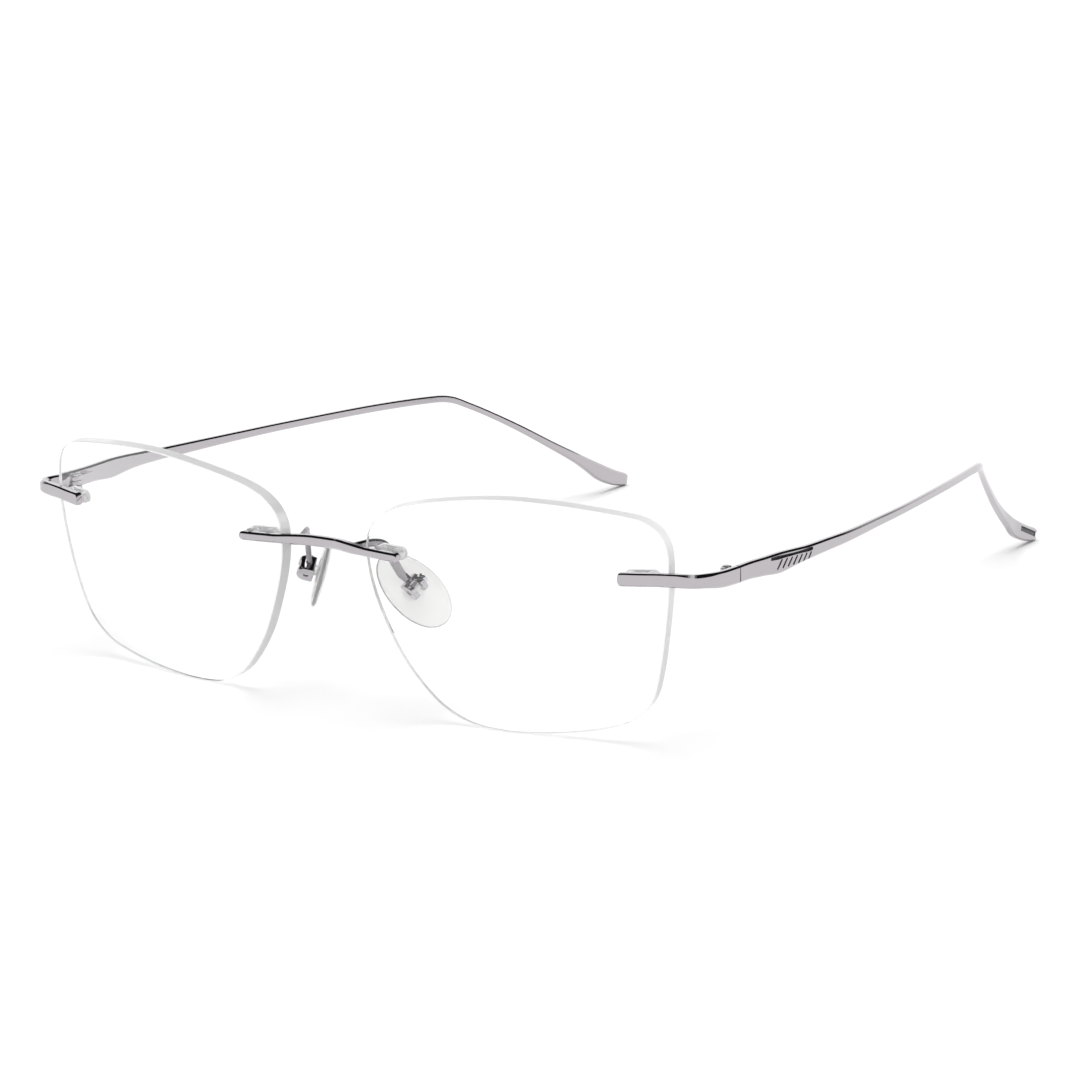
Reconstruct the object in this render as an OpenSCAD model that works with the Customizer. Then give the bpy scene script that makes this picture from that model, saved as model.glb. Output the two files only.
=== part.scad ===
// Rimless eyeglasses: two clear lenses drilled for a bridge bar and two endpieces,
// folding temples on screwed hinges, and nose pads that rock on their screws.
// Millimetres. +X is the wearer's left, +Y points to the ears, +Z is up.
// The glasses stand on the lower edges of the lenses and on the temple tips.

/* [Lenses] */
// Width of one lens, the first number of the frame size
lens_w = 54; // [50:0.5:56]
// Space between the lenses, the second number of the frame size
bridge_gap = 17.2; // [16:0.1:19]
// Thickness of a lens
lens_t = 2.2; // [1.8:0.1:2.6]
// Radius of the lens surfaces
lens_radius = 112; // [90:1:160]
// Turn of each lens back towards the temple
lens_wrap = 7.9; // [4:0.1:10]
// Lean of the lens tops to the front
lens_tilt = 5.7; // [3:0.1:8]

/* [Bars] */
// Thickness of the bridge bar and the endpieces, front to back
bar_t = 1.3; // [1:0.05:1.5]
// Radius of a mounting pin
pin_r = 0.5; // [0.4:0.05:0.6]
// Distance between the two pins of one mount
pin_pitch = 3.5; // [3:0.1:4]
// Outer radius of a clear compression sleeve
sleeve_r = 0.95; // [0.8:0.05:1.1]

/* [Hinges] */
// Height of a hinge over its three layers
hinge_h = 2.4; // [2.2:0.1:3]
// Radius of a hinge knuckle
knuckle_r = 1.0; // [0.9:0.05:1.05]
// Radius of the hinge screw's shank
hinge_screw_r = 0.5; // [0.4:0.05:0.6]

/* [Temples] */
// Thickness of a temple at the hinge, across the head
temple_t = 1.2; // [1:0.05:1.3]
// Number of slanted grooves on a temple
groove_count = 7; // [3:1:8]

/* [Nose pads] */
// Length of a nose pad
pad_l = 15; // [13:0.5:16]
// Width of a nose pad
pad_w = 8.5; // [7:0.5:9]
// Thickness of a nose pad at its middle
pad_t = 1.8; // [1.6:0.1:2.2]
// Radius of the pad screw's shank
pad_screw_r = 0.42; // [0.35:0.01:0.5]

/* [Hidden] */

eps = 0.01;
// Radial gap of a pin in its hole, and the gap between faces that only touch
run_gap = 0.03;
face_gap = 0.05;
// Faces round a true cylinder and round a lens sphere
round_fn = 48;
sphere_fn = 360;
// Steps between two points of a smooth path
path_steps = 4;
// Share of a bar's smaller side taken by its chamfer
chamfer_share = 0.24;

// Distance from the lens fronts back to the middle of the whole object
middle_y = 72.85;
// Height of the lens centres above the table
lens_z = 19.43;
lens_x = (lens_w + bridge_gap) / 2;
// Width of the outline as its points are listed
outline_w = 54;
// Right round the left lens from its outer side: outwards and up from the centre
outline = [[26, 0], [27, 8], [26.5, 14], [23.5, 17.2], [18, 18.5], [9, 19.5], [0, 19.7],
    [-9, 18.8], [-18, 17], [-23.5, 14.7], [-26.5, 11], [-26.8, 6], [-25.4, 0], [-22.2, -7.5],
    [-18.5, -12.9], [-14.5, -16.8], [-9.5, -19.1], [-3, -19.7], [5, -19.1], [13, -17.8],
    [18.5, -16.1], [22.3, -12.9], [24.3, -8]];
// The mounts sit this far above the lens centre
mount_v = 8.4;
// How far in from the lens edge the middle of each mount is
bridge_mount_u = 4.3 - lens_w / 2;
endpiece_mount_u = lens_w / 2 - 4.6;
// Gap between a bar and the lens front
bar_lift = 0.1;
bar_depth = bar_lift + bar_t / 2;
endpiece_rise = 0.22;
flange_r = 1.05;
flange_t = 0.6;

// The straight side stretch that carries the hinge
side_x = lens_x + 32;
side_z = 27.25;
side_inner = side_x - temple_t / 2;
hinge_x = side_inner - knuckle_r - 0.1;
hinge_y = 16.6;
hinge_z = 25.8;
split_y = 17.05;
split_gap = 0.2;
// Gap between two layers of a hinge
layer_gap = 0.1;
layer_h = (hinge_h - 2 * layer_gap) / 3;
leaf_t = 0.95;

// Nose pad: its centre, and the direction down its length and out of its nose side
pad_centre = [9.8, 10.4, 19.2];
pad_down = unit([0.55, 0.4, -0.73]);
pad_face = unit([-0.78, 0.56, -0.275] - ([-0.78, 0.56, -0.275] * pad_down) * pad_down);
pad_across = cross(pad_face, pad_down);
// The pad screw's place from the pad centre, up the pad and behind it
screw_up = 0.6;
screw_behind = 2.4;
arm_t = 0.9;
stud_t = 1.2;
stud_r = 0.8;
core_r = 1.9;
core_t = 0.5;
box_r = 1.6;
box_half = 1.5;
box_reach = 1.2;
box_wall = 0.5;

// Rows of a path hold x, y, z, thickness across and height
bridge_rows = [
    [0, 0.1, 28.05, bar_t, 1.75],
    [1.7, -0.25, 28.15, bar_t, 1.75],
    [3.6, -0.95, 28.3, bar_t, 1.75],
    [6, -1.55, 28.25, bar_t, 1.7],
    each [for (u = [-26.6, -24.8, -23, -21.2, -20.2]) bar_row(u * lens_w / outline_w, 1.45)],
    bar_row(-19.8 * lens_w / outline_w, 0.9)];
endpiece_rows = [
    bar_row(19.3 * lens_w / outline_w, 1.3, endpiece_rise),
    each [for (u = [19.7, 21.5, 23.5, 25.5]) bar_row(u * lens_w / outline_w, 2.1, endpiece_rise)],
    [side_x - 4.0, 6.3, 28.2, bar_t, 2.15],
    [side_x - 1.5, 7.3, 28.15, bar_t, 2.2],
    [side_x - 0.4, 8.9, 28.05, bar_t, 2.3],
    [side_x, 11, 27.75, temple_t, 2.5],
    [side_x, 13.4, 27.45, temple_t, 2.65],
    [side_x, split_y - split_gap / 2, side_z, temple_t, 2.75]];
temple_rows = [
    [side_x, split_y + split_gap / 2, side_z, temple_t, 2.75],
    [side_x, 20.4, 27.15, temple_t, 2.8],
    [side_x + 0.3, 24, 26.95, temple_t, 3.0],
    [side_x + 0.6, 28, 26.7, temple_t, 3.35],
    [side_x + 0.8, 32, 26.7, temple_t, 2.8],
    [side_x + 0.8, 36, 26.6, temple_t, 2.3],
    [side_x + 0.5, 42, 26.4, 1.15, 2.05],
    [side_x, 50, 26.1, 1.1, 1.75],
    [side_x - 1.2, 60, 25.8, 1.0, 1.5],
    [side_x - 2.8, 72, 25.4, 0.95, 1.35],
    [side_x - 6.2, 91, 24.7, 0.95, 1.3],
    [side_x - 9.3, 104, 24.0, 1.0, 1.25],
    [side_x - 11.1, 109.4, 23.35, 1.0, 1.2],
    [side_x - 13, 113, 21.6, 1.0, 1.1],
    [side_x - 15.2, 117.6, 18.9, 1.05, 1.1],
    [side_x - 17.5, 123, 15.5, 1.1, 1.2],
    [side_x - 19.8, 129, 11.5, 1.2, 1.4],
    [side_x - 21.4, 134, 8.3, 1.3, 1.8],
    [side_x - 22.1, 137.2, 6.2, 1.3, 2.3],
    [side_x - 22.7, 140.4, 4.1, 1.3, 3.0],
    [side_x - 22.9, 144, 2.4, 1.3, 2.9],
    [side_x - 23, 147.4, 1.3, 1.2, 2.4],
    [side_x - 23, 148.4, 1.03, 0.9, 1.9]];
arm_rows = [
    [5.2, -1.1, 28.1, arm_t, 1.1],
    [6.2, 1.6, 28.2, arm_t, 1.2],
    [7.3, 4.0, 28.2, arm_t, 1.3],
    [8.3, 5.4, 27.5, arm_t, 1.4],
    [8.9, 6.2, 25.4, arm_t, 1.4],
    [9.7, 7.35, 22.7, arm_t, 1.4],
    pad_row(2.3),
    pad_row(box_r + face_gap)];

// Slanted grooves on the outside of a temple, each a little lower and shorter than the one before
// How far the temple's outer face stands out from side_x at each groove
groove_faces = [1.17, 1.25, 1.32, 1.38, 1.41, 1.41, 1.4, 1.35];
groove_start = [side_x, 27.45, 26.55];
groove_pitch = 1.4;
groove_drop = 0.07;
groove_l = 2.0;
groove_shrink = 0.08;
groove_lean = 44;
// Side of the square bars that cut the grooves and the line above them
groove_side = 0.28;
line_side = 0.46;
line_start = [side_x + 1.08, 25.2, 27.85];
line_l = 11.7;
line_fall = 3.8;
line_turn = 1.8;
// Open slot in the outside of a temple tip
slot_start = [side_x - 22.9 + temple_t / 2, 142.1, 3.25];
slot_l = 10;
slot_h = 0.9;
slot_depth = 0.5;
slot_fall = 24;

function unit(v) = v / norm(v);
function sag(u, v) = lens_radius - sqrt(lens_radius ^ 2 - u ^ 2 - v ^ 2);

// Point of the left lens, u out and v up from its centre, d behind its front
function on_lens(u, v, d) =
    let (y = sag(u, v) + d,
        y1 = y * cos(lens_tilt) - v * sin(lens_tilt),
        z1 = y * sin(lens_tilt) + v * cos(lens_tilt))
    [lens_x + u * cos(lens_wrap) - y1 * sin(lens_wrap),
        u * sin(lens_wrap) + y1 * cos(lens_wrap), lens_z + z1];

// Row of a bar that lies on the front of the left lens, its middle a little above the mounts
function bar_row(u, h, rise = 0) = [each on_lens(u, mount_v + rise, -bar_depth), bar_t, h];

// Row of a pad arm, at a height up the pad from its screw
function pad_row(up) = [each pad_point(-up, 0, 0), arm_t, 1.3];

// Point at distances down, across and out of the pad from the pad screw's middle
function pad_point(down, across, out) = pad_centre + (down - screw_up) * pad_down
    + across * pad_across + (out - screw_behind) * pad_face;

// Smooth curve from p1 to p2
function blend(p0, p1, p2, p3, t) = 0.5 * (2 * p1 + (p2 - p0) * t
    + (2 * p0 - 5 * p1 + 4 * p2 - p3) * t ^ 2 + (3 * p1 - p0 - 3 * p2 + p3) * t ^ 3);
function smooth_path(p) = let (k = len(p) - 1) [
    for (i = [0:k - 1]) for (j = [0:path_steps - 1])
        blend(p[max(i - 1, 0)], p[i], p[i + 1], p[min(i + 2, k)], j / path_steps), p[k]];
function smooth_loop(p, steps) = let (k = len(p)) [
    for (i = [0:k - 1]) for (j = [0:steps - 1])
        blend(p[(i + k - 1) % k], p[i], p[(i + 1) % k], p[(i + 2) % k], j / steps)];

function place_of(row) = [row[0], row[1], row[2]];
function flip_row(row) = [-row[0], row[1], row[2], row[3], row[4]];
function reversed(p) = [for (i = [len(p) - 1:-1:0]) p[i]];

// Corners of a chamfered bar, t across and h high
function bar_corners(t, h) = let (c = chamfer_share * min(t, h), a = t / 2, b = h / 2)
    [[a, b - c], [a - c, b], [c - a, b], [-a, b - c],
        [-a, c - b], [c - a, -b], [a - c, -b], [a, c - b]];

// Corners in space of the bar's section at point i of its path
function bar_ring(path, i) =
    let (along = unit(place_of(path[min(i + 1, len(path) - 1)]) - place_of(path[max(i - 1, 0)])),
        up = unit([0, 0, 1] - along[2] * along),
        side = cross(along, up))
    [for (c = bar_corners(path[i][3], path[i][4])) place_of(path[i]) + c[0] * side + c[1] * up];

// Chamfered bar swept along a path
module bar(path) {
    corners = 8;
    rings = len(path);
    last = (rings - 1) * corners;
    polyhedron(
        points = [for (i = [0:rings - 1]) each bar_ring(path, i)],
        faces = [
            [for (k = [corners - 1:-1:0]) k],
            [for (k = [0:corners - 1]) last + k],
            for (i = [0:rings - 2]) for (k = [0:corners - 1])
                let (a = i * corners + k, b = i * corners + (k + 1) % corners)
                each [[a, b, b + corners], [a, b + corners, a + corners]]]);
}

// Puts a left-hand sub-part on either side, with the object's middle at the origin
module on_side(side) {
    translate([0, -middle_y, 0])
        if (side < 0) mirror([1, 0, 0]) children();
        else children();
}

// Frame of the left lens: X out, Y to the back, Z up, from the middle of its front
module at_lens() {
    translate([lens_x, 0, lens_z]) rotate([lens_tilt, 0, lens_wrap]) children();
}

// Frame of a mount: Y goes into the lens, and the pins stand either side along X
module at_mount(u) {
    at_lens() translate([u, sag(u, mount_v), mount_v])
        rotate([-asin(mount_v / lens_radius), 0, asin(u / lens_radius)]) children();
}

// Round rod along Y
module rod(r, from, to) {
    translate([0, from, 0]) rotate([-90, 0, 0]) cylinder(r = r, h = to - from, $fn = round_fn);
}

module pin_pair(r, from, to) {
    for (side = [-1, 1]) translate([side * pin_pitch / 2, 0, 0]) rod(r, from, to);
}

// Frame of a nose pad: X down, Y across and Z out of the pad, from the screw's middle
module at_pad() {
    p = pad_point(0, 0, 0);
    multmatrix([
        [pad_down[0], pad_across[0], pad_face[0], p[0]],
        [pad_down[1], pad_across[1], pad_face[1], p[1]],
        [pad_down[2], pad_across[2], pad_face[2], p[2]],
        [0, 0, 0, 1]]) children();
}

module lens(side) {
    deep = 14;
    color([0.93, 0.95, 0.96, 0.35]) on_side(side) difference() {
        at_lens() intersection() {
            translate([0, deep, 0]) rotate([90, 0, 0]) linear_extrude(height = deep + 1)
                scale(lens_w / outline_w) polygon(smooth_loop(outline, 4));
            translate([0, lens_radius, 0]) sphere(r = lens_radius, $fn = sphere_fn);
            difference() {
                translate([-lens_w, -2, -lens_w]) cube([2 * lens_w, deep, 2 * lens_w]);
                translate([0, lens_radius + lens_t, 0]) sphere(r = lens_radius, $fn = sphere_fn);
            }
        }
        for (u = [bridge_mount_u, endpiece_mount_u])
            at_mount(u) pin_pair(sleeve_r + run_gap, -1, lens_t + 1);
    }
}

// Clear double sleeve: two tubes through the lens and one flange behind it
module sleeve(side, u) {
    flange_y = lens_t + face_gap * 2;
    color([0.95, 0.95, 0.95, 0.6]) on_side(side) at_mount(u) difference() {
        union() {
            pin_pair(sleeve_r, bar_lift + face_gap, flange_y + eps);
            pin_pair(flange_r, flange_y, flange_y + flange_t);
            translate([-pin_pitch / 2, flange_y, -flange_r])
                cube([pin_pitch, flange_t, 2 * flange_r]);
        }
        pin_pair(pin_r + run_gap, -1, flange_y + flange_t + 1);
    }
}

module mount_pins(u) {
    pin_out = 0.25;
    at_mount(u) pin_pair(pin_r, -bar_depth, lens_t + flange_t + pin_out);
}

module bridge_bar() {
    color("silver") {
        on_side(1) bar(smooth_path(concat(
            reversed([for (row = bridge_rows) if (row[0] > 0) flip_row(row)]), bridge_rows)));
        for (side = [-1, 1]) on_side(side) mount_pins(bridge_mount_u);
    }
}

module endpiece(side) {
    color("silver") on_side(side) {
        bar(smooth_path(endpiece_rows));
        mount_pins(endpiece_mount_u);
    }
}

// Front half of a hinge: a leaf on the endpiece that ends in two knuckles
module hinge_fork(side) {
    leaf_y = 13.6;
    leaf_z = hinge_z + 0.3;
    leaf_h = 1.9;
    leaf_x = side_inner - eps - leaf_t;
    clear_y = hinge_y - knuckle_r - 2 * face_gap;
    color("silver") on_side(side) difference() {
        union() {
            translate([leaf_x, leaf_y, leaf_z]) cube([leaf_t, clear_y - leaf_y, leaf_h]);
            for (z = [hinge_z, hinge_z + hinge_h - layer_h]) {
                translate([leaf_x, clear_y - leaf_t, z])
                    cube([leaf_t, hinge_y - clear_y + leaf_t, layer_h]);
                translate([hinge_x, hinge_y, z]) cylinder(r = knuckle_r, h = layer_h, $fn = round_fn);
            }
        }
        hinge_bore();
    }
}

// Rear half of a hinge: a leaf on the temple that ends in the middle knuckle
module hinge_tongue(side) {
    leaf_end = 21;
    leaf_h = 1.8;
    leaf_x = side_inner - face_gap - leaf_t;
    leaf_y = hinge_y + knuckle_r + 2 * face_gap;
    tongue_z = hinge_z + layer_h + layer_gap;
    color("silver") on_side(side) difference() {
        union() {
            translate([leaf_x, leaf_y, tongue_z + (layer_h - leaf_h) / 2])
                cube([leaf_t, leaf_end - leaf_y, leaf_h]);
            translate([leaf_x, hinge_y, tongue_z]) cube([leaf_t, leaf_y - hinge_y + eps, layer_h]);
            translate([hinge_x, hinge_y, tongue_z])
                cylinder(r = knuckle_r, h = layer_h, $fn = round_fn);
        }
        hinge_bore();
    }
}

module hinge_bore() {
    translate([hinge_x, hinge_y, hinge_z - 1])
        cylinder(r = hinge_screw_r + run_gap, h = hinge_h + 2, $fn = round_fn);
}

// Hinge screw with a slotted head on the top knuckle
module hinge_screw(side) {
    head_r = 0.8;
    head_h = 0.3;
    slot_w = 0.2;
    top = hinge_z + hinge_h + eps;
    color("silver") on_side(side) translate([hinge_x, hinge_y, 0]) difference() {
        union() {
            translate([0, 0, hinge_z]) cylinder(r = hinge_screw_r, h = hinge_h + 2 * eps, $fn = round_fn);
            translate([0, 0, top]) cylinder(r = head_r, h = head_h, $fn = round_fn);
        }
        translate([-head_r - 1, -slot_w / 2, top + head_h / 2]) cube([2 * head_r + 2, slot_w, head_h]);
    }
}

module temple(side) {
    color("silver") on_side(side) difference() {
        bar(smooth_path(temple_rows));
        for (i = [0:groove_count - 1])
            translate(groove_start + [groove_faces[i], i * groove_pitch, -i * groove_drop])
                rotate([-groove_lean, 0, 0]) v_cutter(groove_side, groove_l - i * groove_shrink);
        translate(line_start) rotate([-90 - line_fall, 0, -line_turn]) translate([0, 0, line_l / 2])
            v_cutter(line_side, line_l);
        translate(slot_start - [slot_depth, 0, 0]) rotate([-slot_fall, 0, 0])
            cube([slot_depth * 6, slot_l, slot_h]);
    }
}

// Square bar along Z, set on its edge so that it cuts a V-shaped groove of length l
module v_cutter(side, l) {
    rotate([0, 0, 45]) cube([side, side, l], center = true);
}

// Strip from the back of the bridge bar, over and down to the pad box
module pad_arm(side) {
    color("silver") on_side(side) bar(smooth_path(arm_rows));
}

// Clasp that holds the pad's stud between two cheeks
module pad_box(side) {
    slot_w = stud_t + 2 * face_gap;
    color("silver") on_side(side) at_pad() difference() {
        intersection() {
            union() {
                rod(box_r, -box_half, box_half);
                translate([-box_r, -box_half, 0]) cube([2 * box_r, 2 * box_half, box_r]);
            }
            translate([-box_r - 1, -box_half - 1, -box_r - 1])
                cube([2 * box_r + 2, 2 * box_half + 2, box_r + 1 + box_reach]);
        }
        translate([box_wall - box_r, -slot_w / 2, -box_r - 1])
            cube([2 * box_r + 2, slot_w, box_reach + box_r + 2]);
        rod(pad_screw_r + run_gap, -box_half - 1, box_half + 1);
    }
}

module pad_screw(side) {
    head_r = 0.85;
    head_t = 0.65;
    slot_w = 0.25;
    color("silver") on_side(side) at_pad() difference() {
        union() {
            rod(pad_screw_r, -box_half - 2 * eps, box_half - 0.2);
            rod(head_r, -box_half - head_t - eps, -box_half - eps);
        }
        translate([-head_r - 1, -box_half - head_t - 1, -slot_w / 2])
            cube([2 * head_r + 2, 1 + head_t / 2, slot_w]);
    }
}

// Shape of a pad's stud, grown by a gap where the pad is moulded round it
module stud_shape(gap) {
    core_z = screw_behind - core_t / 2;
    neck = 0.9 * stud_r + gap;
    translate([screw_up, 0, core_z - gap])
        cylinder(r = core_r + gap, h = core_t + 2 * gap, $fn = round_fn);
    translate([-neck, -stud_t / 2 - gap, 0]) cube([2 * neck, stud_t + 2 * gap, core_z]);
}

module pad_stud(side) {
    color([0.9, 0.9, 0.9]) on_side(side) at_pad() difference() {
        union() {
            stud_shape(0);
            rod(stud_r, -stud_t / 2, stud_t / 2);
        }
        rod(pad_screw_r + run_gap, -1, 1);
    }
}

// Soft oval pad, curved on both faces
module nose_pad(side) {
    pad_flare = 0.3;
    edge_t = 0.9;
    face_r = (pad_l / 2) ^ 2 / (pad_t - edge_t);
    color([0.93, 0.93, 0.93, 0.7]) on_side(side) at_pad() difference() {
        translate([screw_up, 0, screw_behind]) intersection() {
            translate([0, 0, -pad_t]) linear_extrude(height = 2 * pad_t)
                polygon([for (a = [0:7.5:352.5])
                    [pad_l / 2 * cos(a), (pad_w / 2 + pad_flare * cos(a)) * sin(a)]]);
            translate([0, 0, pad_t / 2 - face_r]) sphere(r = face_r, $fn = sphere_fn);
            translate([0, 0, face_r - pad_t / 2]) sphere(r = face_r, $fn = sphere_fn);
        }
        stud_shape(run_gap);
    }
}

lens(1);  // lens_left
lens(-1);  // lens_right
bridge_bar();
endpiece(1);  // endpiece_left
endpiece(-1);  // endpiece_right
sleeve(1, bridge_mount_u);  // bridge_sleeve_left
sleeve(-1, bridge_mount_u);  // bridge_sleeve_right
sleeve(1, endpiece_mount_u);  // endpiece_sleeve_left
sleeve(-1, endpiece_mount_u);  // endpiece_sleeve_right
pad_arm(1);  // pad_arm_left
pad_arm(-1);  // pad_arm_right
pad_box(1);  // pad_box_left
pad_box(-1);  // pad_box_right
pad_screw(1);  // pad_screw_left
pad_screw(-1);  // pad_screw_right
nose_pad(1);  // nose_pad_left
nose_pad(-1);  // nose_pad_right
pad_stud(1);  // pad_stud_left
pad_stud(-1);  // pad_stud_right
hinge_fork(1);  // hinge_fork_left
hinge_fork(-1);  // hinge_fork_right
hinge_screw(1);  // hinge_screw_left
hinge_screw(-1);  // hinge_screw_right
hinge_tongue(1);  // hinge_tongue_left
hinge_tongue(-1);  // hinge_tongue_right
temple(1);  // temple_left
temple(-1);  // temple_right
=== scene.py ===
"""Rimless eyeglasses with clear lenses, polished silver bars, folding temples and silicone nose pads.

Shapes are worked out in millimetres, with the lens fronts near y = 0, and turned to metres when a
piece is finished. Each piece of a pair is built left-handed and mirrored for the right.
"""
import math

import bmesh
import bpy
from mathutils import Matrix, Vector


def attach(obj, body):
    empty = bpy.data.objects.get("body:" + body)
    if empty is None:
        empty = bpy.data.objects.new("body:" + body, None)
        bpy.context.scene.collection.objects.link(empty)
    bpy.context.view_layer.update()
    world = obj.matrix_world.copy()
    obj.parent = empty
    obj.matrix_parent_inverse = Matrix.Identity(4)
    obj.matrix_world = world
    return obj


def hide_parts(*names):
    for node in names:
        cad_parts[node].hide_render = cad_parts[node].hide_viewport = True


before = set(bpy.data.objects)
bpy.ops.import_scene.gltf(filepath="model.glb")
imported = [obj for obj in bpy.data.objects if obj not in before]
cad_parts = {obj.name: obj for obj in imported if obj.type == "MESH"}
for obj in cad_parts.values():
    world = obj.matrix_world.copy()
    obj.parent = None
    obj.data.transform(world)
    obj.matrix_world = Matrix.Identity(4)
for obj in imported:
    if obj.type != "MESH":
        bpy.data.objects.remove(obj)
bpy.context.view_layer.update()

# ---------------------------------------------------------------- sizes, in millimetres
MM = 0.001
MIDDLE_Y = 72.85  # from the lens fronts back to the middle of the glasses
SIDES = {"left": 1, "right": -1}
HERE = Matrix.Identity(4)
FACE_GAP = 0.05  # between faces that only touch
RUN_GAP = 0.03  # round a screw in its hole
NEARLY = 0.01  # closer than this is taken as touching
HOLE_PAST, BOX_CUT = 1, 3  # how far cutters reach past the shape they cut

LENS_T = 2.2
LENS_RADIUS = 112.0
LENS_WRAP = math.radians(7.9)
LENS_TILT = math.radians(5.7)
LENS_X = 35.6
LENS_Z = 19.43
# Right round the left lens from its outer side: outwards and up from its centre
OUTLINE = [
    (26, 0), (27, 8), (26.5, 14), (23.5, 17.2), (18, 18.5), (9, 19.5), (0, 19.7), (-9, 18.8),
    (-18, 17), (-23.5, 14.7), (-26.5, 11), (-26.8, 6), (-25.4, 0), (-22.2, -7.5), (-18.5, -12.9),
    (-14.5, -16.8), (-9.5, -19.1), (-3, -19.7), (5, -19.1), (13, -17.8), (18.5, -16.1),
    (22.3, -12.9), (24.3, -8),
]
OUTLINE_STEPS = 10
# Sizes of the rings of faces between the outline and the middle of a lens
LENS_RINGS = (0.975, 0.93, 0.86, 0.77, 0.67, 0.56, 0.44, 0.32, 0.2, 0.1)
EDGE_BEVEL = 0.14
LENS_FACE_NORMAL = 0.6  # a face that looks forward less than this is on the ground edge

# The mounts: their height above the lens centre, and how far out each one's middle is
MOUNT_V = 8.4
MOUNTS = {"bridge": -22.7, "endpiece": 22.4}
PIN_PITCH = 3.5
PIN_R, PIN_END, PIN_SOFT = 0.5, 2.6, 0.12
HOLE_R = 0.98
SLEEVE_R, SLEEVE_START, SLEEVE_SUNK = 0.95, 0.15, 0.1
FLANGE_R, FLANGE_T, FLANGE_Y, FLANGE_SOFT = 1.05, 0.6, 2.3, 0.12

BAR_T = 1.3
BAR_DEPTH = 0.1 + BAR_T / 2
CHAMFER = 0.24  # share of a bar's smaller side
FINE_CHAMFER = 0.18
ARM_CHAMFER = 0.35
ENDPIECE_RISE = 0.22
SIDE_X, SIDE_Z = 67.6, 27.25
TEMPLE_T = 1.2
SPLIT_Y, SPLIT_GAP = 17.05, 0.2
PATH_STEPS = 8
ROD_SIDES = 40

# Slanted grooves on the outside of a temple, cut by square bars set on their edges; their walls are
# painted dark as shade.
# How far the temple's outer face stands out from SIDE_X at each groove
GROOVE_FACES = (1.17, 1.25, 1.32, 1.38, 1.41, 1.41, 1.4)
GROOVE_Y, GROOVE_Z = 27.45, 26.55
GROOVE_PITCH, GROOVE_DROP = 1.4, 0.07
GROOVE_HALF_L, GROOVE_SHRINK, GROOVE_HALF_SIDE = 1.0, 0.04, 0.14
GROOVE_LEAN = math.radians(-44)
# The line above the grooves
LINE_OUT, LINE_Y, LINE_Z = 1.08, 25.2, 27.85
LINE_L, LINE_HALF_SIDE = 11.7, 0.23
LINE_FALL, LINE_TURN = math.radians(-93.8), math.radians(-1.8)
# The slot in the temple's tip
SLOT_IN, SLOT_Y, SLOT_Z = 22.3, 142.1, 3.25
SLOT_L, SLOT_H, SLOT_DEPTH = 10, 0.9, 0.5
SLOT_CUTTER_T = 3
SLOT_FALL = math.radians(-24)

PAD_CENTRE = Vector((9.8, 10.4, 19.2))
PAD_DOWN = Vector((0.55, 0.4, -0.73)).normalized()
PAD_FACE = Vector((-0.78, 0.56, -0.275))
PAD_FACE = (PAD_FACE - PAD_FACE.dot(PAD_DOWN) * PAD_DOWN).normalized()
PAD_ACROSS = PAD_FACE.cross(PAD_DOWN)
PAD_L, PAD_W, PAD_T, PAD_RIM, PAD_FLARE = 15.0, 8.5, 1.8, 0.9, 0.3
# Powers that gather the pad's faces towards its rim, and that round the rim
PAD_GATHER, PAD_ROUND = 0.35, 14
# Faces on the pad's rim take a dark grey silicone: painted shade for the dark outline of a clear
# pad's edge.
PAD_FACE_NORMAL = 0.7  # a face that looks out less than this is on the rim
# The pad screw's place from the pad's centre, and the clasp around it
SCREW_UP, SCREW_BEHIND = 0.6, 2.4
PAD_SCREW_R = 0.42
STUD_T = 1.2
BOX_R, BOX_HALF, BOX_REACH, BOX_WALL = 1.6, 1.5, 1.2, 0.5
BOX_BACK, BOX_SOFT, BOX_CORNER = 0.95, 0.18, math.radians(40)
ARM_T = 0.9

# Faces of a small CAD piece within FLAT of each other are joined, and edges past CORNER are rounded
WELD = 0.002
FLAT, CORNER = math.radians(2), math.radians(35)
HINGE_SOFT, SCREW_SOFT = 0.16, 0.05


def sag(u, v):
    return LENS_RADIUS - math.sqrt(LENS_RADIUS**2 - u**2 - v**2)


LENS_PLACE = (
    Matrix.Translation((LENS_X, 0, LENS_Z))
    @ Matrix.Rotation(LENS_WRAP, 4, "Z")
    @ Matrix.Rotation(LENS_TILT, 4, "X")
)


def mount_place(u):
    """Frame of a mount: Y goes into the lens, and the two pins stand either side along X."""
    return (
        LENS_PLACE
        @ Matrix.Translation((u, sag(u, MOUNT_V), MOUNT_V))
        @ Matrix.Rotation(math.asin(u / LENS_RADIUS), 4, "Z")
        @ Matrix.Rotation(-math.asin(MOUNT_V / LENS_RADIUS), 4, "X")
    )


def pad_place():
    """Frame of a nose pad: X down, Y across and Z out of the pad, from the screw's middle."""
    origin = PAD_CENTRE - SCREW_UP * PAD_DOWN - SCREW_BEHIND * PAD_FACE
    turn = Matrix((PAD_DOWN, PAD_ACROSS, PAD_FACE)).transposed().to_4x4()
    return Matrix.Translation(origin) @ turn


def bar_row(u, height, rise=0.0, chamfer=CHAMFER):
    """Row of a bar on the front of the left lens, with its middle a little above the mounts."""
    high = MOUNT_V + rise
    point = LENS_PLACE @ Vector((u, sag(u, high) - BAR_DEPTH, high))
    return (*point, BAR_T, height, chamfer)


def pad_row(up):
    """Row of a pad arm, at a height up the pad from its screw."""
    point = pad_place() @ Vector((-up, 0, 0))
    return (*point, ARM_T, 1.3)


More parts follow.
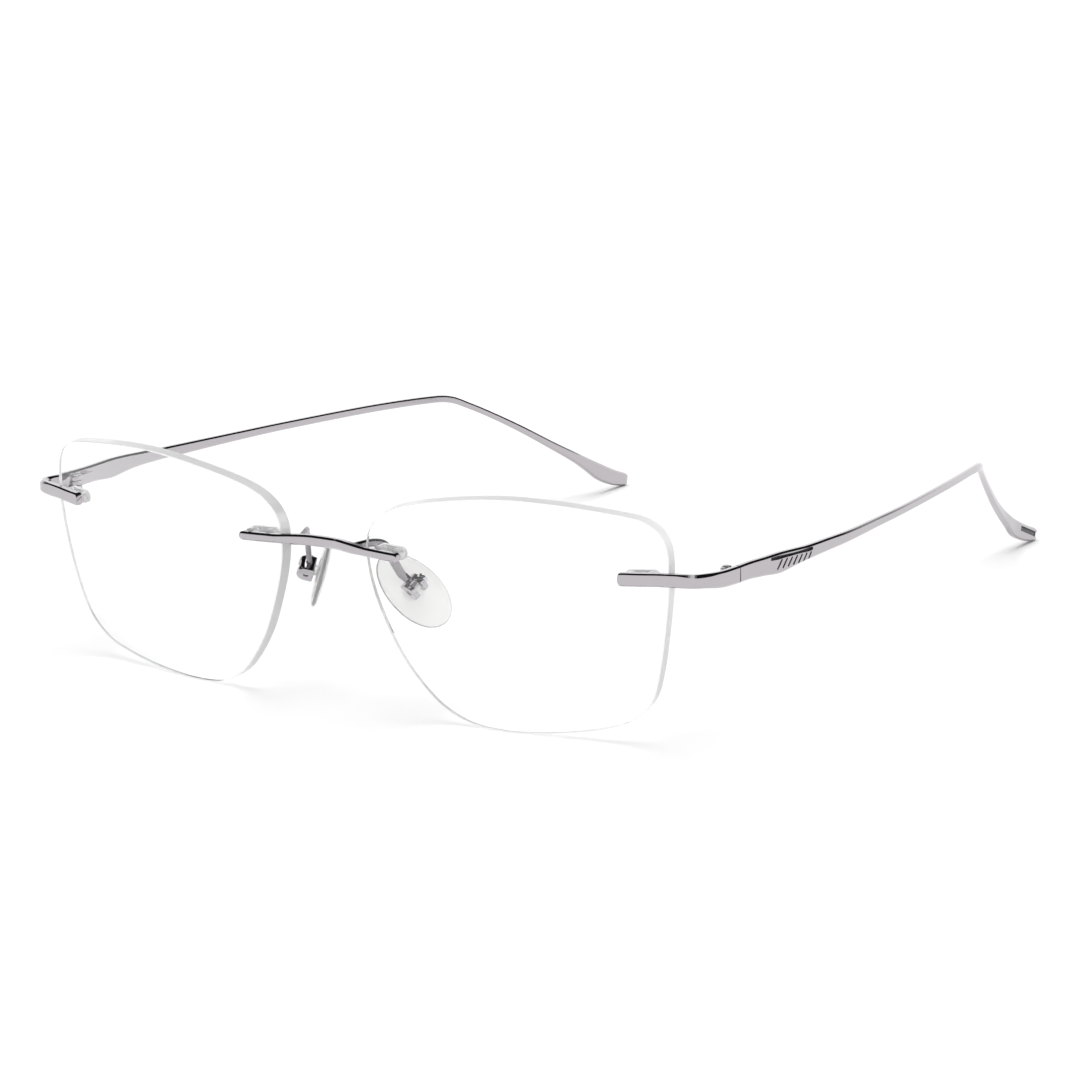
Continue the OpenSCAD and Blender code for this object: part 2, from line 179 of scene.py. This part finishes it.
# Rows of a path hold x, y, z, thickness across, height, and sometimes the share of a chamfer
BRIDGE = [
    (0, 0.1, 28.05, BAR_T, 1.75),
    (1.7, -0.25, 28.15, BAR_T, 1.75),
    (3.6, -0.95, 28.3, BAR_T, 1.75),
    (6, -1.55, 28.25, BAR_T, 1.7),
    *[bar_row(u, 1.45) for u in (-26.6, -24.8, -23, -21.2, -20.3)],
    bar_row(-19.95, 1.2),
    bar_row(-19.8, 0.75),
]
ENDPIECE = [
    bar_row(19.3, 1.1, ENDPIECE_RISE, FINE_CHAMFER),
    bar_row(19.45, 1.75, ENDPIECE_RISE, FINE_CHAMFER),
    *[bar_row(u, 2.1, ENDPIECE_RISE, FINE_CHAMFER) for u in (19.8, 21.5, 23.5, 25.5)],
    (SIDE_X - 4.0, 6.3, 28.2, BAR_T, 2.15, FINE_CHAMFER),
    (SIDE_X - 1.5, 7.3, 28.15, BAR_T, 2.2, 0.34),
    (SIDE_X - 0.4, 8.9, 28.05, BAR_T, 2.3, 0.34),
    (SIDE_X, 11, 27.75, TEMPLE_T, 2.5, 0.26),
    (SIDE_X, 13.4, 27.45, TEMPLE_T, 2.65),
    (SIDE_X, SPLIT_Y - SPLIT_GAP / 2, SIDE_Z, TEMPLE_T, 2.75),
]
TEMPLE = [
    (SIDE_X, SPLIT_Y + SPLIT_GAP / 2, SIDE_Z, TEMPLE_T, 2.75),
    (SIDE_X, 20.4, 27.15, TEMPLE_T, 2.8),
    (SIDE_X + 0.3, 24, 26.95, TEMPLE_T, 3.0),
    (SIDE_X + 0.6, 28, 26.7, TEMPLE_T, 3.35),
    (SIDE_X + 0.8, 32, 26.7, TEMPLE_T, 2.8),
    (SIDE_X + 0.8, 36, 26.6, TEMPLE_T, 2.3),
    (SIDE_X + 0.5, 42, 26.4, 1.15, 2.05),
    (SIDE_X, 50, 26.1, 1.1, 1.75),
    (SIDE_X - 1.2, 60, 25.8, 1.0, 1.5),
    (SIDE_X - 2.8, 72, 25.4, 0.95, 1.35),
    (SIDE_X - 6.2, 91, 24.7, 0.95, 1.3),
    (SIDE_X - 9.3, 104, 24.0, 1.0, 1.25),
    (SIDE_X - 11.1, 109.4, 23.35, 1.0, 1.2),
    (SIDE_X - 13, 113, 21.6, 1.0, 1.1),
    (SIDE_X - 15.2, 117.6, 18.9, 1.05, 1.1),
    (SIDE_X - 17.5, 123, 15.5, 1.1, 1.2),
    (SIDE_X - 19.8, 129, 11.5, 1.2, 1.4),
    (SIDE_X - 21.4, 134, 8.3, 1.3, 1.8),
    (SIDE_X - 22.1, 137.2, 6.2, 1.3, 2.3),
    (SIDE_X - 22.7, 140.4, 4.1, 1.3, 3.0),
    (SIDE_X - 22.9, 144, 2.4, 1.3, 2.9),
    (SIDE_X - 23, 147.4, 1.3, 1.2, 2.4),
    (SIDE_X - 23, 148.36, 1.03, 0.9, 1.85),
]
ARM = [
    (5.2, -1.1, 28.1, ARM_T, 1.1),
    (6.2, 1.6, 28.2, ARM_T, 1.2),
    (7.3, 4.0, 28.2, ARM_T, 1.3),
    (8.3, 5.4, 27.5, ARM_T, 1.4),
    (8.9, 6.2, 25.4, ARM_T, 1.4),
    (9.7, 7.35, 22.7, ARM_T, 1.4),
    pad_row(2.3),
    pad_row(BOX_R + FACE_GAP),
]


# ---------------------------------------------------------------- curves and meshes
def blend(p0, p1, p2, p3, t):
    """Smooth curve from p1 to p2, with the points before and after it."""
    return tuple(
        0.5 * (
            2 * b + (c - a) * t + (2 * a - 5 * b + 4 * c - d) * t**2
            + (3 * b - a - 3 * c + d) * t**3
        )
        for a, b, c, d in zip(p0, p1, p2, p3)
    )


def smooth_path(rows):
    last = len(rows) - 1
    path = [
        blend(
            rows[max(i - 1, 0)], rows[i], rows[i + 1], rows[min(i + 2, last)], j / PATH_STEPS
        )
        for i in range(last)
        for j in range(PATH_STEPS)
    ]
    return path + [rows[last]]


def smooth_loop(points, steps):
    count = len(points)
    return [
        blend(
            points[i - 1], points[i], points[(i + 1) % count], points[(i + 2) % count], j / steps
        )
        for i in range(count)
        for j in range(steps)
    ]


def section(path, i):
    """Corners of the bar's chamfered section at point i of its path."""
    here = Vector(path[i][:3])
    along = Vector(path[min(i + 1, len(path) - 1)][:3]) - Vector(path[max(i - 1, 0)][:3])
    along.normalize()
    up = (Vector((0, 0, 1)) - along.z * along).normalized()
    side = along.cross(up)
    a, b = path[i][3] / 2, path[i][4] / 2
    c = 2 * path[i][5] * min(a, b)
    corners = [
        (a, b - c), (a - c, b), (c - a, b), (-a, b - c),
        (-a, c - b), (c - a, -b), (a - c, -b), (a, c - b),
    ]
    return [here + across * side + high * up for across, high in corners]


def ordered_like(face, ring):
    """The face's corners, each joined by an edge to the matching corner of ring."""
    new = set(face.verts)
    return [
        next(edge.other_vert(old) for edge in old.link_edges if edge.other_vert(old) in new)
        for old in ring
    ]


def sweep(rows, chamfer=CHAMFER):
    """Chamfered bar: its first section is drawn as a face and extruded from point to point."""
    path = smooth_path([(*row, chamfer)[:6] for row in rows])
    bm = bmesh.new()
    ring = [bm.verts.new(corner) for corner in section(path, 0)]
    face = bm.faces.new(ring)
    for i in range(1, len(path)):
        grown = bmesh.ops.extrude_face_region(bm, geom=[face])["geom"]
        face = next(part for part in grown if isinstance(part, bmesh.types.BMFace))
        ring = ordered_like(face, ring)
        for vert, corner in zip(ring, section(path, i)):
            vert.co = corner
    bmesh.ops.recalc_face_normals(bm, faces=bm.faces)
    return bm


def rod(radius, start, end, place, soft=0.0):
    """Round rod along the Y axis of place, with a small bevel on its rims."""
    bm = bmesh.new()
    along_y = Matrix.Rotation(math.radians(90), 4, "X")
    turn = Matrix.Translation((0, (start + end) / 2, 0)) @ along_y
    bmesh.ops.create_cone(
        bm, cap_ends=True, segments=ROD_SIDES, radius1=radius, radius2=radius,
        depth=end - start, matrix=turn,
    )
    if soft:
        bevel(bm, corner_edges(bm, 1), soft, 3)
    bm.transform(place)
    return bm


def block(low, high, place=HERE):
    """Box from its low to its high corner in the frame of place."""
    bm = bmesh.new()
    low, high = Vector(low), Vector(high)
    shape = Matrix.Translation((low + high) / 2) @ Matrix.Diagonal((*(high - low), 1))
    bmesh.ops.create_cube(bm, size=1, matrix=shape)
    bm.transform(place)
    return bm


def corner_edges(bm, angle):
    """Edges where two faces turn by more than an angle."""
    return [
        edge for edge in bm.edges if len(edge.link_faces) == 2 and edge.calc_face_angle() > angle
    ]


def bevel(bm, edges, offset, segments):
    bmesh.ops.bevel(
        bm, geom=edges, offset=offset, offset_type="OFFSET", affect="EDGES", segments=segments,
        profile=0.5, material=-1, clamp_overlap=True,
    )


def painted(bm, slot=1):
    """bm with all its faces in a material slot."""
    for face in bm.faces:
        face.material_index = slot
    return bm


def joined(*parts):
    """One bmesh that holds all the parts."""
    whole = parts[0]
    for part in parts[1:]:
        mesh = bpy.data.meshes.new("part")
        part.to_mesh(mesh)
        whole.from_mesh(mesh)
        part.free()
        bpy.data.meshes.remove(mesh)
    return whole


def combined(bm, other, operation="DIFFERENCE"):
    """bm with the other bmesh cut out of it, or joined to it as one solid."""
    objects = []
    for part in (bm, other):
        mesh = bpy.data.meshes.new("part")
        part.to_mesh(mesh)
        part.free()
        thing = bpy.data.objects.new("part", mesh)
        bpy.context.scene.collection.objects.link(thing)
        objects.append(thing)
    modifier = objects[0].modifiers.new("cut", "BOOLEAN")
    modifier.operation, modifier.solver, modifier.object = operation, "EXACT", objects[1]
    modifier.material_mode = "INDEX"
    graph = bpy.context.evaluated_depsgraph_get()
    result = bmesh.new()
    result.from_mesh(objects[0].evaluated_get(graph).to_mesh())
    for thing in objects:
        mesh = thing.data
        bpy.data.objects.remove(thing)
        bpy.data.meshes.remove(mesh)
    return result


def piece(name, bm, finishes, body, nodes, side=1, sharp=30):
    """Makes a bmesh in millimetres a finished object that rides on a body for its CAD nodes."""
    bm.transform(
        Matrix.Diagonal((side * MM, MM, MM, 1)) @ Matrix.Translation((0, -MIDDLE_Y, 0))
    )
    if side < 0:
        bmesh.ops.reverse_faces(bm, faces=bm.faces)
    mesh = bpy.data.meshes.new(name)
    bm.to_mesh(mesh)
    bm.free()
    for finish in finishes:
        mesh.materials.append(finish)
    mesh.shade_smooth()
    mesh.set_sharp_from_angle(angle=math.radians(sharp))
    thing = bpy.data.objects.new(name, mesh)
    bpy.context.scene.collection.objects.link(thing)
    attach(thing, body)
    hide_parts(*nodes)


# ---------------------------------------------------------------- finishes
class Wire:
    """A shader socket that Python's operators work on."""

    def __init__(self, tree, socket):
        self.tree, self.socket = tree, socket

    def math(self, operation, *values):
        sockets = dict(enumerate(values))
        return node(self.tree, "ShaderNodeMath", {"operation": operation}, sockets)

    def __add__(self, other):
        return self.math("ADD", self, other)

    def __mul__(self, other):
        return self.math("MULTIPLY", self, other)

    __radd__ = __add__
    __rmul__ = __mul__


def node(tree, kind, settings=None, sockets=None, output=0):
    """Adds a node: its settings first, then the values or wires of its sockets."""
    new = tree.nodes.new(kind)
    for key, value in (settings or {}).items():
        if key == "stops":
            ramp = new.color_ramp
            while len(ramp.elements) < len(value):
                ramp.elements.new(1)
            for element, (position, colour) in zip(ramp.elements, value):
                element.position, element.color = position, colour
        else:
            setattr(new, key, value)
    for key, value in (sockets or {}).items():
        if isinstance(value, Wire):
            tree.links.new(value.socket, new.inputs[key])
        else:
            new.inputs[key].default_value = value
    return Wire(tree, new.outputs[output]) if new.outputs else None


def new_material(name):
    material = bpy.data.materials.new(name)
    material.use_nodes = True
    material.node_tree.nodes.clear()
    return material, material.node_tree


def output_surface(tree, shader):
    node(tree, "ShaderNodeOutputMaterial", {}, {"Surface": shader})


def grain(tree, cells, detail=3.0):
    """Noise from 0 to 1 on object coordinates, with its cells per metre along each axis."""
    place = node(tree, "ShaderNodeTexCoord", output=3)
    mapped = node(tree, "ShaderNodeMapping", {}, {"Vector": place, "Scale": cells})
    return node(
        tree, "ShaderNodeTexNoise", {}, {"Vector": mapped, "Scale": 1.0, "Detail": detail}
    )


WEAR_CELLS = (900, 900, 900)
WEAR_TONE = 0.97
METAL_BUMP, CLEAR_BUMP = 0.35, 0.3


def metal(name, colour, rough, spread, cells, depth, share=1.0):
    """Polished metal with fine wear in its gloss, and grain in its surface.

    rough and spread set the gloss, cells and depth the grain, and share how metallic it is.
    """
    material, tree = new_material(name)
    wear = grain(tree, WEAR_CELLS)
    fine = grain(tree, cells, 2.0)
    gloss = wear * spread + fine * (spread * 0.5) + (rough - spread * 0.75)
    tone = node(
        tree, "ShaderNodeMix", {"data_type": "RGBA"},
        {0: wear, 6: (*[c * WEAR_TONE for c in colour], 1), 7: (*colour, 1)}, output=2,
    )
    bump = node(
        tree, "ShaderNodeBump", {}, {"Strength": METAL_BUMP, "Distance": depth, "Height": fine}
    )
    output_surface(tree, node(
        tree, "ShaderNodeBsdfPrincipled", {},
        {"Base Color": tone, "Metallic": share, "Roughness": gloss, "Normal": bump},
    ))
    return material


def clear(name, colour, index, rough, spread, cells, depth, haze=0.0, shade=1.0):
    """Clear plastic with a fine ripple that lets lamps through.

    haze is how milky it is, and shade how much of a lamp's light passes.
    """
    material, tree = new_material(name)
    ripple = grain(tree, (cells, cells, cells))
    bump = node(
        tree, "ShaderNodeBump", {}, {"Strength": CLEAR_BUMP, "Distance": depth, "Height": ripple}
    )
    glass = node(
        tree, "ShaderNodeBsdfPrincipled", {},
        {
            "Base Color": (*colour, 1), "Roughness": ripple * spread + rough, "IOR": index,
            "Transmission Weight": 1.0 - haze, "Normal": bump,
        },
    )
    passed = node(
        tree, "ShaderNodeBsdfTransparent", {}, {"Color": (*[c * shade for c in colour], 1)}
    )
    lamp_ray = node(tree, "ShaderNodeLightPath", output="Is Shadow Ray")
    output_surface(tree, node(
        tree, "ShaderNodeMixShader", {}, {0: lamp_ray, 1: glass, 2: passed}
    ))
    return material


EVEN_GRAIN = (1500, 1500, 1500)
COARSE_GRAIN = (2500, 2500, 2500)
RECESS_GRAIN = (3000, 3000, 3000)
LENGTHWISE_BRUSH = (5000, 90, 5000)
SILVER = (0.5, 0.475, 0.5)
POLISHED = metal("polished_silver", SILVER, 0.045, 0.03, EVEN_GRAIN, 2e-6)
# A darker copy of the polished silver for the pad arms: painted shade, not a different metal.
ARM_SHADED_SILVER = metal("arm_silver_painted_shade", (0.3, 0.285, 0.3), 0.045, 0.03, EVEN_GRAIN, 2e-6)
BRUSHED = metal("brushed_silver", SILVER, 0.065, 0.04, LENGTHWISE_BRUSH, 3e-6)
# Near-black metal for the walls of the temple's grooves, line and slot: painted shade in the
# recesses.
RECESS_SHADE = metal("painted_recess_shade", (0.13, 0.13, 0.135), 0.35, 0.1, RECESS_GRAIN, 4e-6)
STEEL = metal("screw_steel", (0.6, 0.6, 0.62), 0.1, 0.05, COARSE_GRAIN, 3e-6)
LENS_CLEAR = clear(
    "lens_clear", (0.998, 1.0, 0.999), 1.5, 0.0, 0.003, 300, 1e-7, shade=0.97
)
LENS_EDGE = clear(
    "lens_ground_edge", (0.98, 0.975, 0.98), 1.5, 0.25, 0.12, 2500, 4e-6, haze=0.6, shade=0.3
)
SLEEVE = clear("sleeve_clear", (0.93, 0.93, 0.935), 1.45, 0.12, 0.05, 1200, 3e-6, haze=0.85)
SILICONE = clear("silicone", (0.95, 0.945, 0.94), 1.41, 0.03, 0.05, 700, 3e-6, haze=0.3)
# Dark grey silicone for the pad's rim: painted shade, not a different material.
RIM_SHADE = clear("silicone_rim_painted_shade", (0.38, 0.38, 0.4), 1.41, 0.05, 0.05, 700, 3e-6, haze=0.5)
STUD = clear("stud_plastic", (0.95, 0.955, 0.96), 1.5, 0.08, 0.05, 1500, 3e-6, haze=0.1)
PIN = metal("pin_satin", (0.9, 0.9, 0.9), 0.45, 0.1, COARSE_GRAIN, 3e-6, 0.35)


# ---------------------------------------------------------------- pieces
def new_parts(geometry, kind):
    return [part for part in geometry if isinstance(part, kind)]


def lens_shape():
    """Meniscus of even thickness with a flat ground edge and four drilled holes."""
    bm = bmesh.new()
    rim = [bm.verts.new((u, 0, v)) for u, v in smooth_loop(OUTLINE, OUTLINE_STEPS)]
    loop = [bm.edges.new((rim[i - 1], rim[i])) for i in range(len(rim))]
    size = 1.0
    for share in LENS_RINGS:
        grown = bmesh.ops.extrude_edge_only(bm, edges=loop)["geom"]
        verts = new_parts(grown, bmesh.types.BMVert)
        loop = [
            edge for edge in new_parts(grown, bmesh.types.BMEdge)
            if all(vert in verts for vert in edge.verts)
        ]
        bmesh.ops.scale(bm, vec=(share / size, 1, share / size), verts=verts)
        size = share
    grown = bmesh.ops.extrude_edge_only(bm, edges=loop)["geom"]
    middle = new_parts(grown, bmesh.types.BMVert)
    bmesh.ops.pointmerge(bm, verts=middle, merge_co=(0, 0, 0))
    for vert in bm.verts:
        vert.co.y = sag(vert.co.x, vert.co.z)
    grown = bmesh.ops.extrude_face_region(bm, geom=list(bm.faces), use_keep_orig=True)["geom"]
    bmesh.ops.translate(bm, vec=(0, LENS_T, 0), verts=new_parts(grown, bmesh.types.BMVert))
    bmesh.ops.recalc_face_normals(bm, faces=bm.faces)
    for face in bm.faces:
        face.material_index = int(abs(face.normal.y) < LENS_FACE_NORMAL)
    rims = [
        edge for edge in bm.edges
        if len({face.material_index for face in edge.link_faces}) == 2
    ]
    bevel(bm, rims, EDGE_BEVEL, 1)
    bm.transform(LENS_PLACE)
    holes = [
        painted(rod(HOLE_R, -HOLE_PAST, LENS_T + HOLE_PAST, pin_place(u, side)))
        for u in MOUNTS.values() for side in (-1, 1)
    ]
    return combined(bm, joined(*holes))


def pin_place(u, side):
    return mount_place(u) @ Matrix.Translation((side * PIN_PITCH / 2, 0, 0))


def mount_pins(u):
    return [
        painted(rod(PIN_R, -BAR_DEPTH, PIN_END, pin_place(u, side), PIN_SOFT))
        for side in (-1, 1)
    ]


def sleeve_shape(u):
    """Two solid posts through the lens on one rounded flange."""
    shift = PIN_PITCH / 2
    back = FLANGE_Y + FLANGE_T
    bm = block((-shift, FLANGE_Y, -FLANGE_R), (shift, back, FLANGE_R))
    sides = [Matrix.Translation((side * shift, 0, 0)) for side in (-1, 1)]
    ends = [rod(FLANGE_R, FLANGE_Y, back, place) for place in sides]
    tubes = [rod(SLEEVE_R, SLEEVE_START, FLANGE_Y + SLEEVE_SUNK, place) for place in sides]
    for part in ends + tubes:
        bm = combined(bm, part, "UNION")
    edges = [
        edge for edge in corner_edges(bm, 1)
        if edge.calc_length() > NEARLY and all(v.co.y > back - NEARLY for v in edge.verts)
    ]
    bevel(bm, edges, FLANGE_SOFT, 3)
    bm.transform(mount_place(u))
    return bm


def temple_shape():
    """Blade with slanted grooves and a line near the hinge, and a slot in its tip, their walls
    painted dark as shade.
    """
    bm = sweep(TEMPLE)
    on_edge = Matrix.Rotation(math.radians(45), 4, "Z")
    lean = Matrix.Rotation(GROOVE_LEAN, 4, "X")
    side = GROOVE_HALF_SIDE
    cutters = []
    for i, out in enumerate(GROOVE_FACES):
        middle = (SIDE_X + out, GROOVE_Y + i * GROOVE_PITCH, GROOVE_Z - i * GROOVE_DROP)
        half = GROOVE_HALF_L - i * GROOVE_SHRINK
        place = Matrix.Translation(middle) @ lean @ on_edge
        cutters.append(block((-side, -side, -half), (side, side, half), place))
    fall = Matrix.Rotation(LINE_TURN, 4, "Z") @ Matrix.Rotation(LINE_FALL, 4, "X")
    place = Matrix.Translation((SIDE_X + LINE_OUT, LINE_Y, LINE_Z)) @ fall @ on_edge
    side = LINE_HALF_SIDE
    cutters.append(block((-side, -side, 0), (side, side, LINE_L), place))
    corner = (SIDE_X - SLOT_IN - SLOT_DEPTH, SLOT_Y, SLOT_Z)
    place = Matrix.Translation(corner) @ Matrix.Rotation(SLOT_FALL, 4, "X")
    cutters.append(block((0, 0, 0), (SLOT_CUTTER_T, SLOT_L, SLOT_H), place))
    # The cut walls take the cutters' second slot, painted dark as shade.
    for cutter in cutters:
        bm = combined(bm, painted(cutter))
    return bm


def pad_shape():
    """Oval plate with a round rim and domed faces, wider towards its foot."""
    bm = bmesh.new()
    bmesh.ops.create_uvsphere(bm, u_segments=96, v_segments=64, radius=1)
    for vert in bm.verts:
        x, y, z = vert.co
        out = min(1.0, math.hypot(x, y))
        share = out**PAD_GATHER
        across = share / out if out > 1e-6 else 0.0
        x, y = x * across, y * across
        rim = math.sqrt(max(0.0, 1 - share**PAD_ROUND))
        high = PAD_RIM / 2 * rim + (PAD_T - PAD_RIM) / 2 * (1 - share**2)
        high = math.copysign(high, z) if abs(z) > 1e-6 else 0.0
        vert.co = (x * PAD_L / 2, y * (PAD_W / 2 + PAD_FLARE * x), high)
    bmesh.ops.recalc_face_normals(bm, faces=bm.faces)
    # Rim faces take the second slot, painted dark as shade.
    for face in bm.faces:
        face.material_index = int(abs(face.normal.z) < PAD_FACE_NORMAL)
    bm.transform(pad_place() @ Matrix.Translation((SCREW_UP, 0, SCREW_BEHIND)))
    return bm


def refined(name, soft):
    """Copy of a CAD node in millimetres, welded, with its edges rounded."""
    bm = bmesh.new()
    bm.from_mesh(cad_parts[name].data)
    place = Matrix.Translation((0, MIDDLE_Y, 0)) @ Matrix.Scale(1 / MM, 4)
    bmesh.ops.transform(bm, matrix=place, verts=bm.verts)
    bmesh.ops.remove_doubles(bm, verts=bm.verts, dist=WELD)
    bmesh.ops.dissolve_limit(bm, angle_limit=FLAT, verts=bm.verts, edges=bm.edges)
    bevel(bm, corner_edges(bm, CORNER), soft, 2)
    return bm


def box_shape():
    """Clasp with a rounded back, a slot for the stud and a hole for the screw."""
    bm = block((-BOX_R, -BOX_HALF, -BOX_R), (BOX_R, BOX_HALF, BOX_REACH))
    back = [
        edge for edge in bm.edges
        if all(abs(vert.co.z + BOX_R) < NEARLY for vert in edge.verts)
        and abs(edge.verts[0].co.y - edge.verts[1].co.y) > 1
    ]
    bevel(bm, back, BOX_R * BOX_BACK, 8)
    bevel(bm, corner_edges(bm, BOX_CORNER), BOX_SOFT, 3)
    half_slot = STUD_T / 2 + FACE_GAP
    slot = block((BOX_WALL - BOX_R, -half_slot, -BOX_R - HOLE_PAST), (BOX_CUT, half_slot, BOX_CUT))
    bm = combined(bm, slot)
    bm = combined(bm, rod(PAD_SCREW_R + RUN_GAP, -BOX_CUT, BOX_CUT, HERE))
    bm.transform(pad_place())
    return bm


for word, side in SIDES.items():
    temple, pad = f"temple_{word}", f"pad_{word}"
    piece(
        f"lens_{word}_clear", lens_shape(), [LENS_CLEAR, LENS_EDGE], "front", [f"lens_{word}"],
        side,
    )
    piece(
        f"endpiece_{word}_bar", joined(sweep(ENDPIECE), *mount_pins(MOUNTS["endpiece"])),
        [POLISHED, PIN], "front", [f"endpiece_{word}"], side,
    )
    for mount, u in MOUNTS.items():
        sleeve = f"{mount}_sleeve_{word}"
        piece(f"{sleeve}_clear", sleeve_shape(u), [SLEEVE], "front", [sleeve], side)
    piece(f"{temple}_blade", temple_shape(), [BRUSHED, RECESS_SHADE], temple, [temple], side)
    arm, box, nose_pad = f"pad_arm_{word}", f"pad_box_{word}", f"nose_pad_{word}"
    piece(f"{arm}_strip", sweep(ARM, ARM_CHAMFER), [ARM_SHADED_SILVER], "front", [arm], side)
    piece(f"{box}_clasp", box_shape(), [POLISHED], "front", [box], side, 40)
    piece(f"{nose_pad}_silicone", pad_shape(), [SILICONE, RIM_SHADE], pad, [nose_pad], side, 60)
    for part, soft, finish, body in (
        ("hinge_fork", HINGE_SOFT, POLISHED, "front"),
        ("hinge_tongue", HINGE_SOFT, POLISHED, temple),
        ("hinge_screw", SCREW_SOFT, STEEL, "front"),
        ("pad_screw", SCREW_SOFT, STEEL, "front"),
        ("pad_stud", SCREW_SOFT, STUD, pad),
    ):
        name = f"{part}_{word}"
        piece(f"{name}_fine", refined(name, soft), [finish], body, [name], sharp=35)

bridge_rows = [(-row[0], *row[1:]) for row in reversed(BRIDGE[1:])] + BRIDGE
bridge = [sweep(bridge_rows)]
for side in SIDES.values():
    for pin in mount_pins(MOUNTS["bridge"]):
        if side < 0:
            bmesh.ops.scale(pin, vec=(-1, 1, 1), verts=pin.verts)
            bmesh.ops.reverse_faces(pin, faces=pin.faces)
        bridge.append(pin)
piece("bridge_bar_arch", joined(*bridge), [POLISHED, PIN], "front", ["bridge_bar"])

# ---------------------------------------------------------------- floor, light and camera
FLOOR_SIZE, FLOOR_TONE = 6, (0.9, 0.9, 0.9, 1)
SKY_TONE = (0.6, 0.6, 0.6, 1)
DARK, WHITE, LAMP = (0.012, 0.012, 0.012, 1), (1.15, 1.15, 1.15, 1), (2.6, 2.6, 2.6, 1)
# What shows in gloss and glass, by height: white near the floor, dark, and a lamp overhead
STUDIO = [(0.3, WHITE), (0.42, DARK), (0.955, DARK), (0.98, LAMP)]
SUN_POWER, SUN_SPREAD = 1.9, math.radians(50)
CAMERA_LENS, FILM = 172.18, 36.0
CAMERA_AT = (498.98, -632.21, 233.39)
CAMERA_TURN = (35.85, 14.37, -1.96)  # azimuth, elevation and roll in degrees
NEAR, FAR = 0.01, 20

floor_bm = bmesh.new()
bmesh.ops.create_grid(floor_bm, x_segments=1, y_segments=1, size=FLOOR_SIZE)
floor_mesh = bpy.data.meshes.new("floor")
floor_bm.to_mesh(floor_mesh)
floor_bm.free()
floor = bpy.data.objects.new("floor", floor_mesh)
bpy.context.scene.collection.objects.link(floor)
paper, paper_tree = new_material("pale_floor")
output_surface(paper_tree, node(
    paper_tree, "ShaderNodeBsdfPrincipled", {},
    {"Base Color": FLOOR_TONE, "Roughness": 1.0, "Specular IOR Level": 0.0},
))
floor_mesh.materials.append(paper)

world = bpy.data.worlds.new("studio")
bpy.context.scene.world = world
world.use_nodes = True
sky = world.node_tree
sky.nodes.clear()
way = node(sky, "ShaderNodeTexCoord")
height = node(sky, "ShaderNodeSeparateXYZ", {}, {0: way}, output=2)
studio = node(sky, "ShaderNodeValToRGB", {"stops": STUDIO}, {0: height})
mirrored = node(sky, "ShaderNodeLightPath", output="Is Glossy Ray")
bent = node(sky, "ShaderNodeLightPath", output="Is Transmission Ray")
tone = node(
    sky, "ShaderNodeMix", {"data_type": "RGBA"}, {0: mirrored + bent, 6: SKY_TONE, 7: studio},
    output=2,
)
glow = node(sky, "ShaderNodeBackground", {}, {"Color": tone, "Strength": 1.0})
node(sky, "ShaderNodeOutputWorld", {}, {"Surface": glow})

sun_data = bpy.data.lights.new("overhead", "SUN")
sun_data.energy, sun_data.angle = SUN_POWER, SUN_SPREAD
sun = bpy.data.objects.new("overhead", sun_data)
sun.visible_glossy = False
bpy.context.scene.collection.objects.link(sun)

camera = bpy.data.cameras.new("camera")
camera.lens, camera.sensor_width = CAMERA_LENS, FILM
camera.clip_start, camera.clip_end = NEAR, FAR
eye = bpy.data.objects.new("camera", camera)
bpy.context.scene.collection.objects.link(eye)
azimuth, elevation, roll = (math.radians(angle) for angle in CAMERA_TURN)
back = Vector((
    math.sin(azimuth) * math.cos(elevation), -math.cos(azimuth) * math.cos(elevation),
    math.sin(elevation),
))
level_right = Vector((math.cos(azimuth), math.sin(azimuth), 0))
level_up = back.cross(level_right)
right = math.cos(roll) * level_right + math.sin(roll) * level_up
up = back.cross(right)
turn = Matrix((right, up, back)).transposed().to_4x4()
across, along, high = CAMERA_AT
eye.matrix_world = Matrix.Translation(Vector((across, along - MIDDLE_Y, high)) * MM) @ turn
bpy.context.scene.camera = eye
bpy.context.scene.view_settings.view_transform = "Standard"
